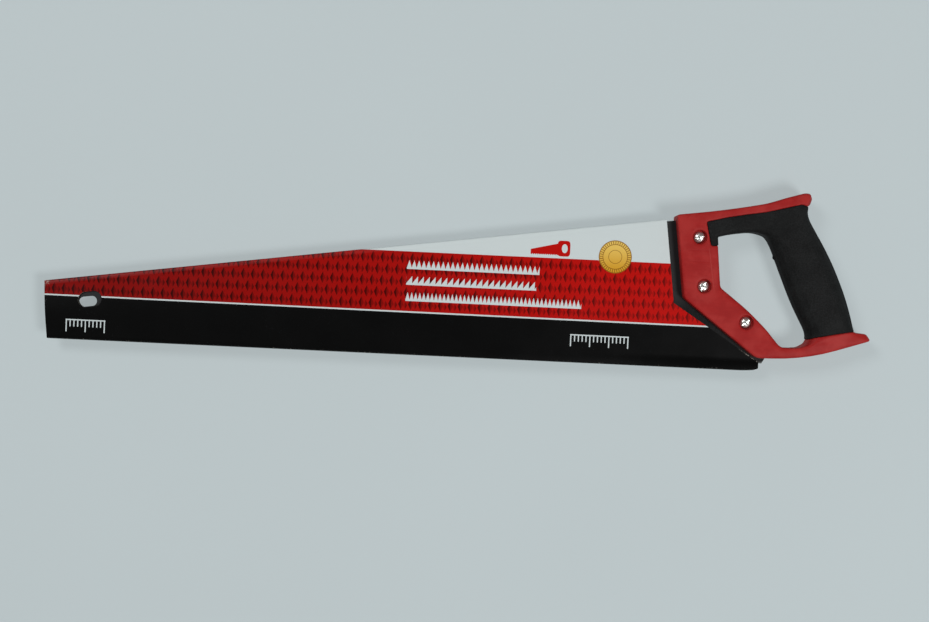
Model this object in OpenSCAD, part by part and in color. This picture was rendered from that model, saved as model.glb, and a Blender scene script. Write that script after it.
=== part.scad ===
// Panel saw: a toothed steel blade clamped in a moulded handle, with a folded card sleeve.
// The saw lies on its side with its teeth towards -Y and its toe towards -X. Sizes in millimetres.

/* [Blade] */
// Length of the tooth line, 22 inches
blade_len = 558.8; // [500:0.1:660]
// Thickness of the steel
blade_t = 0.9; // [0.7:0.05:1.1]
// Height of the blade at the toe
toe_h = 42; // [38:0.5:60]
// Height of the blade where it enters the handle
heel_h = 113.5; // [110:0.5:118]
// How far the toe's upper corner leads the lower one
toe_rake = 3.6; // [0:0.1:8]
// Lean of the short bare edge at the heel, from the tooth line
heel_slant = 59; // [50:1:70]
// Teeth in one inch
tpi = 7; // [5:1:9]
// Depth of a gullet
tooth_depth = 2.7; // [1.8:0.1:3.2]
// How far each tooth tip is bent to its side
tooth_set = 0.25; // [0.1:0.01:0.4]
// How much higher a tip is on the side it bends away from
tip_bevel = 0.7; // [0.2:0.1:1]
// Where a tip stands along its pitch, from the toe side
tip_share = 0.58; // [0.5:0.01:0.7]
// Plain steel left beside the first and the last tooth
plain_end = 2.2; // [1:0.1:4]

/* [Hang slot] */
// Length of the slot through the blade
slot_len = 14.2; // [12:0.1:18]
// Width of the slot through the blade
slot_w = 7.9; // [7:0.1:10]
// Slot centre from the toe end of the tooth line
slot_x = 29.4; // [24:0.1:40]
// Slot centre above the tooth tips
slot_y = 28.4; // [24:0.1:30]
// How much longer and wider the slot in the card is
card_slot_extra = 4.4; // [3:0.1:6]
// How far the slot in the card is shifted towards the heel and the back
card_slot_shift = 1.8; // [0:0.1:2.4]

/* [Card sleeve] */
// Thickness of the card
card_t = 0.45; // [0.3:0.05:0.6]
// Room between the bent tooth tips and each card panel
card_play = 0.3; // [0.2:0.05:0.5]
// Room between the tooth tips and the inside of the fold under them
fold_play = 1.6; // [0.8:0.05:2]
// Room between the back of the blade and the inside of the upper fold
back_play = 1.2; // [1:0.05:2.2]
// Card that stands past the toe of the blade
toe_overhang = 1.6; // [0.5:0.1:3]
// Bare strip of blade between the card and the handle
bare_strip = 7.1; // [4:0.1:9]
// How far below the handle's elbow the card's edge turns
card_turn = 4; // [2:0.1:8]
// Height at which the card's sloping edge ends at the heel
card_end_h = 5; // [3:0.1:6]
// Width of the glued lap on the far side
lap_w = 14; // [8:0.5:20]

/* [Cheeks] */
// Thickness of the cheeks that hold the blade
cheek_t = 22; // [20:0.5:24]
// Width of the cheeks at the top of the hand opening
cheek_w = 30.4; // [29:0.1:33]
// Width of the cheeks along the sloping lower part
heel_band = 25.6; // [24.6:0.1:28]
// Distance of the upper front corner from the heel end of the tooth line
handle_reach = 70.5; // [66:0.1:74]
// Lean of the front edge
front_lean = 7.4; // [5:0.1:10]
// Slope of the lower front edge
heel_angle = 37.1; // [35:0.1:39]
// Height of the front elbow above the tooth tips
elbow_h = 52.6; // [49:0.1:56]
// Height of the handle's underside above the tooth tips, at the heel
foot_h = 8.3; // [8:0.1:10]
// Plastic over the back of the blade
cap_h = 4.1; // [3:0.1:6]
// Clearance beside the blade in its seat
seat_fit = 0.05; // [0.02:0.01:0.1]
// Clearance behind and over the blade in its seat
seat_end = 0.3; // [0.1:0.05:0.5]
// Wall between the blade and the opening's lower side
seat_wall = 2.2; // [1.8:0.1:2.6]
// Plastic between the blade and the soft cover
cover_gap = 0.6; // [0.4:0.1:1]

/* [Hand opening] */
// Height of the opening's upper front corner above the elbow
open_rise = 45.7; // [42:0.1:48]
// Lean of the opening's front side
open_lean = 5.8; // [4:0.1:8]
// Width of the opening at its top
opening_w = 40.4; // [38:0.1:46]
// How far the opening arches above its upper front corner
open_arch = 5.6; // [4:0.1:7]
// Extra slope of the opening's lower side
open_turn = 2.8; // [0:0.1:4]
// How far the lower side swells into the opening, beside the lower screw
open_swell = 1.2; // [0:0.1:2]
// Height of the bar under the opening
bar_h = 9.1; // [8:0.1:10]

/* [Grip] */
// Width of the grip, front to back
grip_w = 40.8; // [38:0.1:43]
// Thickness of the grip
grip_t = 29; // [27:0.5:31]
// Lean of the grip
grip_lean = 23.2; // [21:0.1:26]
// Height of the rail over the opening's upper front corner
rail_h = 20.7; // [18:0.1:22]
// Thickness of the rail
rail_t = 21; // [19:0.5:22]
// Rise of the rail's end above its front corner
horn_rise = 22.2; // [18:0.1:26]
// How far the knob at the rail's end stands out past the grip
knob_out = 3.3; // [2:0.1:4.5]
// Slope of the rail's upper edge at its end
horn_slope = 17.5; // [12:0.1:22]
// Nearly level part of the underside
sole_len = 38; // [32:0.1:42]
// Rise of that part
sole_rise = 0.7; // [0:0.1:1.5]
// Slope of the foot behind it
foot_rise = 17.8; // [14:0.1:20]
// How far the foot stands past the back of the grip
foot_past = 10.2; // [7:0.1:14]
// Height of the foot's blunt end
foot_tip_h = 6.1; // [5:0.1:8]
// Slope of the foot's upper side, behind the grip
foot_top_slope = 4.5; // [2:0.1:10]
// Thickness of the foot at its end
foot_tip_t = 14; // [10:0.5:18]

/* [Soft cover] */
// How far the soft cover stands proud of the hard plastic
cover_proud = 0.3; // [0.1:0.05:0.6]
// Thickness of the cover on the narrow sides of the grip
cover_wall = 4.6; // [4:0.1:5.5]
// Thickness of the cover on the faces of the rail
cover_face = 2.6; // [2:0.1:3.4]
// Width of the cover's short leg down the front of the opening
cover_leg_w = 5.7; // [4:0.1:7]
// How far that leg reaches below the opening's upper front corner
cover_leg_h = 7; // [5:0.1:10]
// How far above the foot the cover ends, at the back of the grip
cover_lift = 1.4; // [0.5:0.1:3]

/* [Fasteners] */
// Distance of each screw from the outer edge of the cheeks
screw_in = 16.5; // [15.8:0.1:16.9]
// Height of the upper screw above the elbow, along the front edge
screw_top_up = 46.4; // [40:0.1:48]
// Height of the middle screw above the elbow
screw_mid_up = 7.9; // [5:0.1:14]
// Distance of the lower screw from the elbow, along the sloping edge
screw_low_along = 49.7; // [40:0.1:50]
// Diameter of the screw's thread
screw_d = 4; // [3.5:0.1:4.2]
// Diameter of the screw's head
head_d = 8.6; // [8:0.1:9.4]
// Height of the screw's head
head_h = 2.6; // [2.2:0.1:3]
// Width of one arm of the cross recess
cross_w = 1.3; // [1:0.1:1.6]
// Depth of the cross recess
cross_h = 1.5; // [1:0.1:1.8]
// Diameter of the sunk hole over each screw and nut
recess_d = 11; // [10.4:0.1:11.4]
// Depth of that hole, from the cheek's face to the head's seat
recess_h = 5.6; // [5:0.1:6.4]
// Outside diameter of the sleeve nut's barrel
barrel_d = 5.6; // [5.2:0.1:5.8]
// Diameter of the sleeve nut's flange
flange_d = 9.4; // [8.6:0.1:9.8]
// Height of the sleeve nut's flange
flange_h = 1.9; // [1.5:0.1:2.4]
// Running room round the barrel and round the thread
bolt_fit = 0.1; // [0.05:0.01:0.15]

/* [Hidden] */
$fn = 48;

// Blade outline
back_slope = (heel_h - toe_h) / (blade_len - handle_reach + toe_rake);
back_angle = atan(back_slope);
back_dir = [cos(back_angle), sin(back_angle)];
back_up = [-sin(back_angle), cos(back_angle)];
toe_top = [-toe_rake, toe_h];
pitch = 25.4 / tpi;
tooth_count = floor((blade_len - 2 * plain_end) / pitch);
first_tooth = (blade_len - tooth_count * pitch) / 2;
root_band = tooth_depth + 1.5;
function back_y(x) = toe_h + (x + toe_rake) * back_slope;

// Where two lines cross, each given by a point and a direction
function across(a, b) = a[0] * b[1] - a[1] * b[0];
function crossing(p, u, q, v) = p + u * across(q - p, v) / across(u, v);

// Front of the handle
front_up = [-sin(front_lean), cos(front_lean)];
front_in = [cos(front_lean), sin(front_lean)];
heel_dir = [cos(heel_angle), -sin(heel_angle)];
heel_in = [sin(heel_angle), cos(heel_angle)];
corner = [blade_len - handle_reach, heel_h + cap_h];
elbow = [corner[0] + (corner[1] - elbow_h) * tan(front_lean), elbow_h];
heel = [elbow[0] + (elbow_h - foot_h) / tan(heel_angle), foot_h];

// Hand opening
open_front = elbow + front_in * cheek_w + front_up * open_rise;
open_dir = [sin(open_lean), -cos(open_lean)];
band_dir = [cos(heel_angle + open_turn), -sin(heel_angle + open_turn)];
band_in = [sin(heel_angle + open_turn), cos(heel_angle + open_turn)];
open_elbow = crossing(open_front, open_dir, elbow + heel_in * heel_band, band_dir);
open_low = open_elbow + band_dir * 48.1;
bar_top = foot_h + bar_h;
grip_top = open_front + [opening_w, 0];
grip_down = [sin(grip_lean), -cos(grip_lean)];
grip_out = [cos(grip_lean), sin(grip_lean)];
function grip_at(down, out) = grip_top + grip_down * down + grip_out * out;

// Foot and horn
sole = heel + [sole_len, sole_rise];
foot_dir = [cos(foot_rise), sin(foot_rise)];
foot_up = [-sin(foot_rise), cos(foot_rise)];
grip_back = grip_at(0, grip_w - 3.2);
tip = crossing(grip_back, grip_down, sole, foot_dir) + foot_dir * foot_past;
tip_top = tip + foot_up * foot_tip_h - foot_dir * 2;
grip_foot = crossing(grip_back, grip_down, tip_top, [-cos(foot_top_slope), sin(foot_top_slope)]);
grip_len = (grip_foot - grip_top) * grip_down;
cover_low = grip_len - cover_lift;
horn = [grip_at(0, grip_w - 8.5)[0] + knob_out, corner[1] + horn_rise];

// Corners of the handle's two outlines: place, and how far its rounding reaches to either side.
// Both lists run the same way round, and corner i of one faces corner i of the other.
outer_corners = [
    [corner, 2.2],
    [elbow, 2.4],
    [elbow + heel_dir * 32, 6],
    [heel, 4],
    [sole, 25],
    [tip, 1.3],
    [tip_top, 1.5],
    [grip_foot, 1.8],
    [grip_at(cover_low - 20.7, grip_w + 0.6), 18],
    [grip_at(28.5, grip_w + 0.1), 18],
    [[horn[0] - knob_out + 0.6, grip_top[1] + 18], 5],
    [[horn[0] - knob_out - 0.6, grip_top[1] + 26.4], 2.4],
    [horn, 6],
    [horn - [cos(horn_slope), sin(horn_slope)] * (26.3 + knob_out), 20],
    [[corner[0] + 35.7, open_front[1] + rail_h], 19]
];
inner_corners = [
    [open_front, 1],
    [open_elbow, 2],
    [open_elbow + band_dir * 27 + band_in * open_swell, 8],
    [open_low, 4.5],
    [[open_low[0] + 12.2, bar_top], 3.5],
    [[open_low[0] + 27, bar_top + 0.2], 3.5],
    [grip_at(cover_low - 4.2, 0.5), 3.5],
    [grip_at(cover_low - 12.8, 2.6), 4],
    [grip_at(cover_low - 36, 0), 12],
    [grip_at(20, 0), 10],
    [grip_at(8, 0.4), 2.6],
    [grip_at(3, 0.2), 2.2],
    [grip_at(-2.6, 0), 3],
    [open_front + [28.5, open_arch], 6],
    [open_front + [12.6, open_arch - 2.2], 5.5]
];

// Half thickness at the opening's side and at the outer side, at each corner
cheek = cheek_t / 2;
rail = rail_t / 2;
grip = grip_t / 2;
inner_half = [cheek, cheek, cheek, cheek, cheek, cheek + 1, grip - 1.5, grip - 0.5,
    grip, grip, grip - 0.7, grip - 1.4, rail + 2, rail, rail];
outer_half = [cheek, cheek, cheek, cheek, cheek - 0.3, foot_tip_t / 2, foot_tip_t / 2, grip - 2.5,
    grip, grip, grip - 2, rail + 2.4, rail + 1.5, rail, rail];
// Reach of the rounding along the face, then its depth down the side
inner_reach = [6.2, 6.6, 4.4, 4.2, 3.4, 4, 9, 14, 17.5, 17.5, 13.5, 11, 7, 4.5, 4.4];
inner_depth = [2.2, 2.4, 2.2, 2.2, 2.2, 5, 9, 12.6, 13.6, 13.6, 12.4, 10.6, 7, 4, 3];
outer_reach = [1.2, 1.2, 1.2, 1.4, 1.8, 5, 5, 12, 19, 19, 10, 6, 3.8, 1.8, 1.4];
outer_depth = [1.2, 1.2, 1.2, 1.4, 1.8, 4.4, 4.4, 9.5, 13.6, 13.6, 9, 6, 4.2, 1.8, 1.4];

corner_count = len(outer_corners);
corner_steps = 5;
arc_steps = 4;

// Point u of the rounding at corner i: a parabola that leaves along one side and joins the next
function rounded(list, i, u) =
    let (n = len(list), p = list[i][0], a = list[(i + n - 1) % n][0], b = list[(i + 1) % n][0])
    let (s = p + (a - p) / norm(a - p) * list[i][1], e = p + (b - p) / norm(b - p) * list[i][1])
    s * pow(1 - u, 2) + p * 2 * u * (1 - u) + e * pow(u, 2);

// Value of a list at place w, between its whole-numbered places
function at(list, w) =
    let (n = len(list), k = floor(w), f = w - k, g = f * f * (3 - 2 * f))
    list[(k + n) % n] * (1 - g) + list[(k + 1 + n) % n] * g;

// One cross-section of the handle, as points in space, grown by proud
function section(i, u, proud) =
    let (w = i + (u - 0.5) * 0.62)
    let (a0 = rounded(inner_corners, i, u), b0 = rounded(outer_corners, i, u))
    let (dir = (b0 - a0) / norm(b0 - a0), a = a0 - dir * proud, length = norm(b0 - a0) + 2 * proud)
    let (hi = at(inner_half, w) + proud, ho = at(outer_half, w) + proud)
    let (ri = at(inner_reach, w), di = at(inner_depth, w))
    let (ro = at(outer_reach, w), ds = at(outer_depth, w))
    let (half = concat(
        [for (k = [0 : arc_steps]) let (t = 90 * k / arc_steps)
            [ri * (1 - cos(t)), hi - di + di * sin(t)]],
        [for (k = [0 : arc_steps]) let (t = 90 * k / arc_steps)
            [length - ro + ro * sin(t), ho - ds + ds * cos(t)]]))
    let (m = len(half))
    concat(
        [for (q = half) [a[0] + dir[0] * q[0], a[1] + dir[1] * q[0], q[1]]],
        [for (k = [1 : m]) let (q = half[m - k]) [a[0] + dir[0] * q[0], a[1] + dir[1] * q[0], -q[1]]]);

function stations(first, last) =
    [for (i = [first : last]) for (k = [0 : corner_steps]) [i, k / corner_steps]];
// From the end of the foot up the grip and along the rail, down to the front elbow
cover_stations = concat(stations(5, corner_count - 1), stations(0, 1));

// The tang's outline behind the tooth line, grown by over where it lies in its seat
function tang(over) =
    let (low_at = open_elbow - band_in * (seat_wall - over))
    let (side_at = open_front - [cos(open_lean), sin(open_lean)] * (cover_wall + cover_gap - over))
    let (rear_low = crossing(low_at, band_dir, open_low - [seat_wall * 1.35, 0], [0, 1]))
    let (rear_mid = crossing(side_at, open_dir, low_at, band_dir))
    let (rear_top = crossing(side_at, open_dir, toe_top + back_up * over, back_dir))
    [[blade_len + (foot_h + 4) / tan(heel_slant) + over, foot_h + 4], rear_low, rear_mid, rear_top];

// Screws: place and turn of the cross
screw_spots = [
    elbow + front_in * screw_in + front_up * screw_top_up,
    elbow + front_in * screw_in + front_up * screw_mid_up,
    elbow + heel_in * screw_in + heel_dir * screw_low_along
];
screw_turns = [20, 63, 38];
seat_z = cheek - recess_h;

// Card sleeve
tube_half = blade_t / 2 + tooth_set + card_play;
card_half = tube_half + card_t;
fold_y = tube_half - fold_play;
fold_back = toe_top + back_up * (back_play - tube_half);
card_turn_at = crossing(elbow - front_in * bare_strip, front_up, [0, elbow_h - card_turn], [1, 0]);
function toe_x(y) = -toe_overhang - toe_rake * y / toe_h;

// The part's frame: middle of its box in X and Y, lowest point in Z
ring_outer = [for (s = stations(0, corner_count - 1)) rounded(outer_corners, s[0], s[1])];
low_x = toe_x(fold_back[1] + card_half);
high_x = max([for (p = ring_outer) p[0]]);
high_y = max([for (p = ring_outer) p[1]]);
shift = [-(low_x + high_x) / 2, -(fold_y - card_half + high_y) / 2, grip + cover_proud];

module slot_shape(length, width) {
    square([length - width, width], center = true);
    for (s = [-1, 1]) translate([s * (length - width) / 2, 0]) circle(d = width);
}

module slot_cut(length, width, moved, depth) {
    translate([slot_x + moved, slot_y + moved, 0]) rotate(back_angle)
        linear_extrude(depth, center = true) slot_shape(length, width);
}

// A band along the tooth line whose lower edge is cut into set and bevelled teeth
module tooth_band() {
    side = blade_t / 2;
    marks = concat([[0, 0, 0]],
        [for (i = [0 : tooth_count - 1]) for (m = [
            [first_tooth + i * pitch, tooth_depth, 0],
            [first_tooth + (i + tip_share) * pitch, 0, i % 2 == 0 ? 1 : -1]]) m],
        [[first_tooth + tooth_count * pitch, tooth_depth, 0], [blade_len, 0, 0]]);
    points = [for (m = marks) each [
        [m[0], root_band, side],
        [m[0], m[1] + (m[2] < 0 ? tip_bevel : 0), side + m[2] * tooth_set],
        [m[0], m[1] + (m[2] > 0 ? tip_bevel : 0), -side + m[2] * tooth_set],
        [m[0], root_band, -side]]];
    last = 4 * (len(marks) - 1);
    polyhedron(points, concat(
        [[0, 1, 2], [0, 2, 3], [last, last + 2, last + 1], [last, last + 3, last + 2]],
        [for (i = [0 : len(marks) - 2]) for (k = [0 : 3]) each
            let (a = 4 * i + k, b = 4 * i + (k + 1) % 4) [[a, a + 4, b], [b, a + 4, b + 4]]]));
}

module blade() color([0.16, 0.17, 0.18]) translate(shift) {
    heel_x = blade_len + root_band / tan(heel_slant);
    difference() {
        union() {
            tooth_band();
            linear_extrude(blade_t, center = true)
                polygon(concat([toe_top, [-toe_rake * root_band / toe_h, root_band], [0, root_band],
                    [blade_len, root_band], [heel_x, root_band]], tang(0)));
        }
        slot_cut(slot_len, slot_w, 0, 2 * blade_t);
        for (p = screw_spots) translate(p)
            cylinder(d = barrel_d + 2 * bolt_fit, h = 2 * blade_t, center = true);
    }
}

// The handle's full outer form between two stations, or closed on itself when whole is true
module handle_form(list, whole, proud) {
    rings = [for (s = list) section(s[0], s[1], proud)];
    n = len(rings);
    m = len(rings[0]);
    last = whole ? n : n - 1;
    sides = [for (i = [0 : last - 1]) for (k = [0 : m - 1]) each
        let (a = i * m + k, b = i * m + (k + 1) % m)
        let (c = (i + 1) % n * m + k, d = (i + 1) % n * m + (k + 1) % m)
        [[a, c, b], [b, c, d]]];
    ends = whole ? [] : [[for (k = [0 : m - 1]) k], [for (k = [m - 1 : -1 : 0]) (n - 1) * m + k]];
    polyhedron([for (r = rings) each r], concat(sides, ends));
}

// Where the soft cover lies, seen from the side
module cover_area() {
    leg_foot = open_front + open_dir * cover_leg_h;
    leg_back = [cos(open_lean), sin(open_lean)] * cover_leg_w;
    rail_line = corner + [23.5, -4.6];
    polygon([
        leg_foot + leg_back * 2, leg_foot - leg_back, rail_line,
        corner + [39, -0.6], corner + [54, 2.4], corner + [69, 4.9], corner + [89, 9.9], corner + [97, 12],
        [horn[0] - knob_out, corner[1] + 10.6], [horn[0] + 60, corner[1] + 10.6],
        [grip_at(cover_low, grip_w + 20)[0], grip_at(cover_low, grip_w)[1] + 2],
        grip_at(cover_low, grip_w - 5.5), grip_at(cover_low - 2.6, grip_w - 16.5),
        grip_at(cover_low - 4.6, grip_w - 26), grip_at(cover_low - 6.4, grip_w - 35),
        grip_at(cover_low - 6.4, -6), grip_at(30, -6), grip_at(12, -8)
    ]);
}

// Hard spine that runs inside the soft cover, from the cheeks round to the foot
module spine() {
    wall = cover_wall;
    linear_extrude(rail_t - 2 * cover_face, center = true) polygon([
        open_front + open_dir * (cover_leg_h + 8) + [-wall, 0],
        open_front + [-wall, 1.5],
        open_front + [12.6, open_arch - 1.8 + wall],
        open_front + [28.5, open_arch + wall + 0.7],
        grip_at(-4, wall + 1.2), grip_at(8, wall + 0.6), grip_at(cover_low - 30, wall),
        grip_at(cover_low - 12, wall + 2.4), grip_at(cover_low + 4, wall + 2.4),
        grip_at(cover_low + 4, grip_w - wall - 4), grip_at(cover_low - 20, grip_w - wall - 0.6),
        grip_at(28.5, grip_w - wall - 0.8), grip_at(5, grip_w - wall - 3.2),
        [horn[0] - knob_out - wall, corner[1] + 7], [horn[0] - knob_out - wall, corner[1] + 16],
        corner + [60, 8], corner + [12, -2]
    ]);
}

module handle_core() color([0.66, 0.14, 0.15]) translate(shift) difference() {
    handle_form(stations(0, corner_count - 1), true, 0);
    difference() {
        linear_extrude(2 * grip_t, center = true) cover_area();
        spine();
    }
    linear_extrude(blade_t + 2 * seat_fit, center = true) polygon(concat(
        [[blade_len, 0], [elbow[0] - 10, 0], [corner[0] - 10, back_y(corner[0] - 10) + seat_end]],
        [for (k = [3 : -1 : 0]) tang(seat_end)[k]]));
    for (p = screw_spots) translate(p) {
        cylinder(d = barrel_d + 2 * bolt_fit, h = cheek_t, center = true);
        for (s = [-1, 1]) translate([0, 0, s * (seat_z + recess_h / 2 + 1)])
            cylinder(d = recess_d, h = recess_h + 2, center = true);
    }
}

module grip_overmould() color([0.13, 0.135, 0.14]) translate(shift) intersection() {
    handle_form(cover_stations, false, cover_proud);
    difference() {
        linear_extrude(2 * grip_t, center = true) cover_area();
        spine();
    }
}

// One folded edge along +X: a half round whose flat sides run on by a given width
module fold(half, length, width) {
    rotate([90, 0, 90]) linear_extrude(length) {
        circle(r = half);
        translate([0, -half]) square([width, 2 * half]);
    }
}

// Flattened tube round the blade, as a solid of a given half thickness
module tube(half) {
    spare = 20;
    flat_in = 8;
    start = fold_back - back_dir * spare;
    fold_len = blade_len + 2 * spare;
    end = start + back_dir * fold_len;
    linear_extrude(2 * half, center = true)
        polygon([
            [start[0], fold_y + flat_in / 2], [end[0], fold_y + flat_in / 2],
            end - back_up * flat_in / 2, start - back_up * flat_in / 2
        ]);
    translate([-spare, fold_y, 0]) fold(half, fold_len, flat_in);
    translate(start) rotate(back_angle) mirror([0, 1, 0]) fold(half, fold_len, flat_in);
}

module card_outline() {
    low = fold_y - card_half - 1;
    high = heel_h + 20;
    polygon([
        [toe_x(low), low], [toe_x(high), high],
        card_turn_at + front_up * (high - card_turn_at[1]) / cos(front_lean),
        card_turn_at, [blade_len, card_end_h], [blade_len, low]
    ]);
}

module blade_sleeve() color([0.75, 0.1, 0.09]) translate(shift) difference() {
    union() {
        intersection() {
            tube(card_half);
            linear_extrude(4 * card_half, center = true) card_outline();
        }
        intersection() {
            translate([0, 0, -card_half - card_t]) linear_extrude(card_t + card_half / 2) polygon([
                fold_back - back_dir * 10, fold_back + back_dir * blade_len,
                fold_back + back_dir * blade_len - back_up * lap_w,
                fold_back - back_dir * 10 - back_up * lap_w
            ]);
            linear_extrude(4 * card_half, center = true) card_outline();
        }
    }
    tube(tube_half);
    slot_cut(slot_len + card_slot_extra, slot_w + card_slot_extra, card_slot_shift, 6 * card_half);
}

// Screw with a domed head and a cross recess, its thread inside the nut's barrel
module screw(i) color([0.8, 0.8, 0.78])
    translate(shift) translate(screw_spots[i]) rotate(screw_turns[i]) {
    thread_end = -seat_z + 0.8;
    difference() {
        union() {
            translate([0, 0, thread_end]) cylinder(d = screw_d, h = seat_z - thread_end);
            translate([0, 0, seat_z]) rotate_extrude()
                polygon([
                    [0, 0], [head_d / 2, 0], [head_d / 2, head_h * 0.55], [head_d * 0.45, head_h * 0.8],
                    [head_d * 0.34, head_h * 0.96], [head_d * 0.2, head_h], [0, head_h]
                ]);
        }
        for (a = [0, 90]) rotate(a) translate([0, 0, seat_z + head_h])
            cube([head_d * 0.56, cross_w, 2 * cross_h], center = true);
    }
}

// Sleeve nut: a flange sunk in the far cheek, with a barrel through both cheeks and the blade
module nut(i) color([0.78, 0.78, 0.76])
    translate(shift) translate(screw_spots[i]) rotate(screw_turns[i]) {
    difference() {
        union() {
            translate([0, 0, -seat_z]) cylinder(d = barrel_d, h = 2 * seat_z - 1.2);
            translate([0, 0, -seat_z - flange_h]) cylinder(d = flange_d, h = flange_h);
        }
        translate([0, 0, -seat_z - flange_h - 1])
            cylinder(d = screw_d + 2 * bolt_fit, h = 2 * seat_z + flange_h + 2);
    }
}

module screw_top() screw(0);
module screw_middle() screw(1);
module screw_bottom() screw(2);
module nut_top() nut(0);
module nut_middle() nut(1);
module nut_bottom() nut(2);

blade();
handle_core();
grip_overmould();
blade_sleeve();
screw_top();
screw_middle();
screw_bottom();
nut_top();
nut_middle();
nut_bottom();
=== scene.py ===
import math

import bmesh
import bpy
from mathutils import Matrix, Vector


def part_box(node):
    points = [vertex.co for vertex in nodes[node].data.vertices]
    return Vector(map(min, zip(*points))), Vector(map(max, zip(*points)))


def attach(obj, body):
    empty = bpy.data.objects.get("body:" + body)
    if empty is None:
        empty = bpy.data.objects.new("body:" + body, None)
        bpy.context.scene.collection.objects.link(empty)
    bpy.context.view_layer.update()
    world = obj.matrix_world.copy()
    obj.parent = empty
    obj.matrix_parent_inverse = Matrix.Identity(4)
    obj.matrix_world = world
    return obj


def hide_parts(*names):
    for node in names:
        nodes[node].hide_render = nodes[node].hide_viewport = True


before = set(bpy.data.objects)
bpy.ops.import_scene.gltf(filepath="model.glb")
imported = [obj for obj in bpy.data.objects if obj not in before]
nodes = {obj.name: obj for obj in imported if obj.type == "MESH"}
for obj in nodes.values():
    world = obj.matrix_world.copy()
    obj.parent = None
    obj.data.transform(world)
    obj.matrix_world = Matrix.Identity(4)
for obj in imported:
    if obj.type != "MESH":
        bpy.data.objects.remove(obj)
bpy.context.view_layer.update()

scene = bpy.context.scene
mm = 0.001
# how far the toe's upper corner leads the lower one
toeRake = 3.6
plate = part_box("blade")
# toe end of the tooth line, in the blade's middle plane; every place below is measured from it in mm
toe = Vector((plate[0].x + toeRake * mm, plate[0].y, (plate[0].z + plate[1].z) / 2))
screwSpots = ((507.13, 100.74), (512.09, 62.56), (546.34, 35.78))
# distances from the blade's middle plane
screwSeat = 5.4
cheekFace = 11.0
print("frame loaded, toe at", [round(v, 5) for v in toe])


def place(x, y, z=0.0):
    return toe + Vector((x, y, z)) * mm


# camera, straight above the saw and turned a little, as in the photo
camera = {"over": (325.99, 34.57), "height": 1100, "lens": 54.1, "sensor": 36, "turn": 2.67}
lens = bpy.data.cameras.new("cameraData")
lens.lens = camera["lens"]
lens.sensor_width = camera["sensor"]
eye = bpy.data.objects.new("camera", lens)
eye.location = place(*camera["over"], camera["height"])
eye.rotation_euler = (0, 0, math.radians(camera["turn"]))
scene.collection.objects.link(eye)
scene.camera = eye
scene.view_settings.view_transform = "Standard"


# short ways to lay nodes
def linear(r, g, b):
    # 0 to 255 as a picture shows it, turned into the values that the shader takes
    def one(c):
        c = c / 255
        return c / 12.92 if c <= 0.04045 else ((c + 0.055) / 1.055) ** 2.4
    return (one(r), one(g), one(b), 1.0)


def tinted(colour, factor):
    return [min(1.0, c * factor) for c in colour[:3]] + [1.0]


def newMaterial(name):
    material = bpy.data.materials.new(name)
    material.use_nodes = True
    tree = material.node_tree
    tree.nodes.clear()
    out = tree.nodes.new("ShaderNodeOutputMaterial")
    shader = tree.nodes.new("ShaderNodeBsdfPrincipled")
    tree.links.new(shader.outputs[0], out.inputs[0])
    return material, tree, shader


def put(tree, socket, value):
    if isinstance(value, bpy.types.NodeSocket):
        tree.links.new(value, socket)
    else:
        socket.default_value = value


def calc(tree, operation, *values):
    n = tree.nodes.new("ShaderNodeMath")
    n.operation = operation
    for socket, value in zip(n.inputs, values):
        put(tree, socket, value)
    return n.outputs[0]


def calculator(tree):
    # calc for one tree, so that a sum of many steps stays short
    def c(operation, *values):
        return calc(tree, operation, *values)
    return c


def ease(tree, value, low, high):
    # 0 below low and 1 above high; turned round where high is the smaller
    n = tree.nodes.new("ShaderNodeMapRange")
    n.interpolation_type = "SMOOTHSTEP"
    put(tree, n.inputs["Value"], value)
    put(tree, n.inputs["From Min"], low)
    put(tree, n.inputs["From Max"], high)
    return n.outputs[0]


def between(tree, value, low, high, soft=0.12):
    up = ease(tree, value, low - soft, low + soft)
    down = ease(tree, value, high + soft, high - soft)
    return calc(tree, "MULTIPLY", up, down)


def every(tree, *masks):
    out = masks[0]
    for m in masks[1:]:
        out = calc(tree, "MULTIPLY", out, m)
    return out


def either(tree, *masks):
    out = masks[0]
    for m in masks[1:]:
        out = calc(tree, "MAXIMUM", out, m)
    return out


def paint(tree, factor, under, over):
    n = tree.nodes.new("ShaderNodeMix")
    n.data_type = "RGBA"
    put(tree, n.inputs[0], factor)
    put(tree, n.inputs[6], under)
    put(tree, n.inputs[7], over)
    return n.outputs[2]


def toeSpace(tree):
    # object coordinates in mm from the toe end of the tooth line, whole and as x, y and z
    coords = tree.nodes.new("ShaderNodeTexCoord")
    mapping = tree.nodes.new("ShaderNodeMapping")
    mapping.inputs["Location"].default_value = -toe / mm
    mapping.inputs["Scale"].default_value = (1 / mm,) * 3
    tree.links.new(coords.outputs["Object"], mapping.inputs["Vector"])
    parts = tree.nodes.new("ShaderNodeSeparateXYZ")
    tree.links.new(mapping.outputs[0], parts.inputs[0])
    return mapping.outputs[0], parts.outputs[0], parts.outputs[1], parts.outputs[2]


def stretched(tree, vector, scale):
    n = tree.nodes.new("ShaderNodeMapping")
    n.inputs["Scale"].default_value = scale
    tree.links.new(vector, n.inputs["Vector"])
    return n.outputs[0]


def noise(tree, vector, scale, detail=2.0, roughness=0.5):
    n = tree.nodes.new("ShaderNodeTexNoise")
    n.inputs["Scale"].default_value = scale
    n.inputs["Detail"].default_value = detail
    n.inputs["Roughness"].default_value = roughness
    tree.links.new(vector, n.inputs["Vector"])
    return n.outputs["Fac"]


def bump(tree, shader, height, depth, strength=1.0):
    n = tree.nodes.new("ShaderNodeBump")
    n.inputs["Distance"].default_value = depth * mm
    n.inputs["Strength"].default_value = strength
    tree.links.new(height, n.inputs["Height"])
    tree.links.new(n.outputs[0], shader.inputs["Normal"])


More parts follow.
